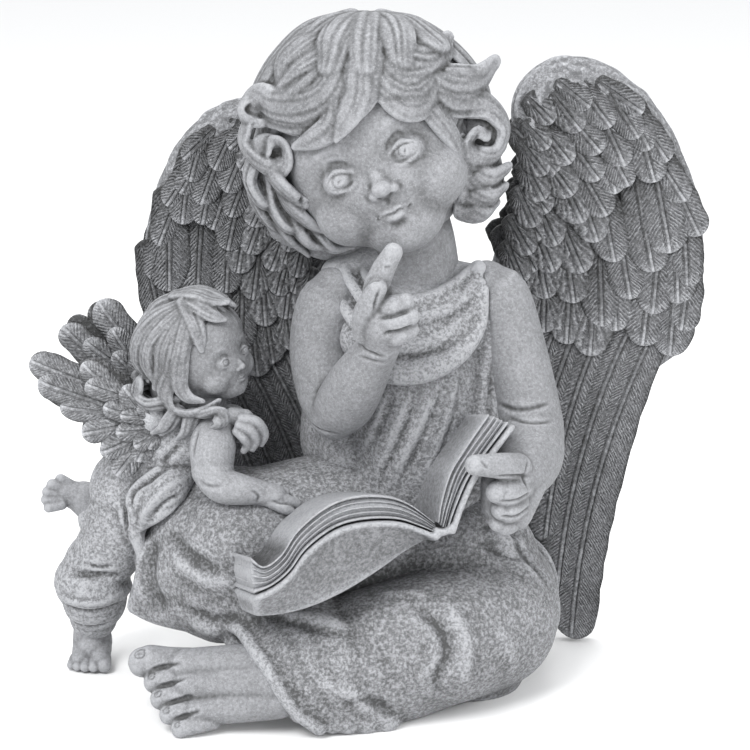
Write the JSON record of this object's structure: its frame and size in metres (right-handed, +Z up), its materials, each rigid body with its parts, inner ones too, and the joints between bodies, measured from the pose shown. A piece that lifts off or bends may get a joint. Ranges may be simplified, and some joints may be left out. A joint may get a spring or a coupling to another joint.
{
  "type": "garden angel figurine",
  "caption": "Seated winged child in a draped gown reading an open book, with a small winged infant leaning on its knee, in stone-look cast resin.",
  "frame": {"origin": "on the ground plane, in the middle of the foot ring's underside", "axes": "+Z up; the child faces -Y and its own left side is +X"},
  "size_m": [0.2826, 0.1525, 0.2795],
  "materials": {
    "gown_resin": "matte",
    "skin_resin": "matte",
    "wing_resin": "matte",
    "plug_resin": "matte"
  },
  "bodies": {
    "root": {"bodice": "gown_resin", "skirt": "gown_resin", "base_plug": "plug_resin", "head": "skin_resin", "right_arm": "skin_resin", "left_arm": "skin_resin", "book": "skin_resin", "left_foot": "skin_resin", "left_wing": "wing_resin", "right_wing": "wing_resin", "infant_body": "gown_resin", "infant_head": "skin_resin", "infant_right_arm": "gown_resin", "infant_left_arm": "gown_resin", "infant_right_wing": "wing_resin", "infant_left_wing": "wing_resin", "infant_standing_foot": "skin_resin", "infant_raised_foot": "skin_resin"}
  },
  "joints": []
}
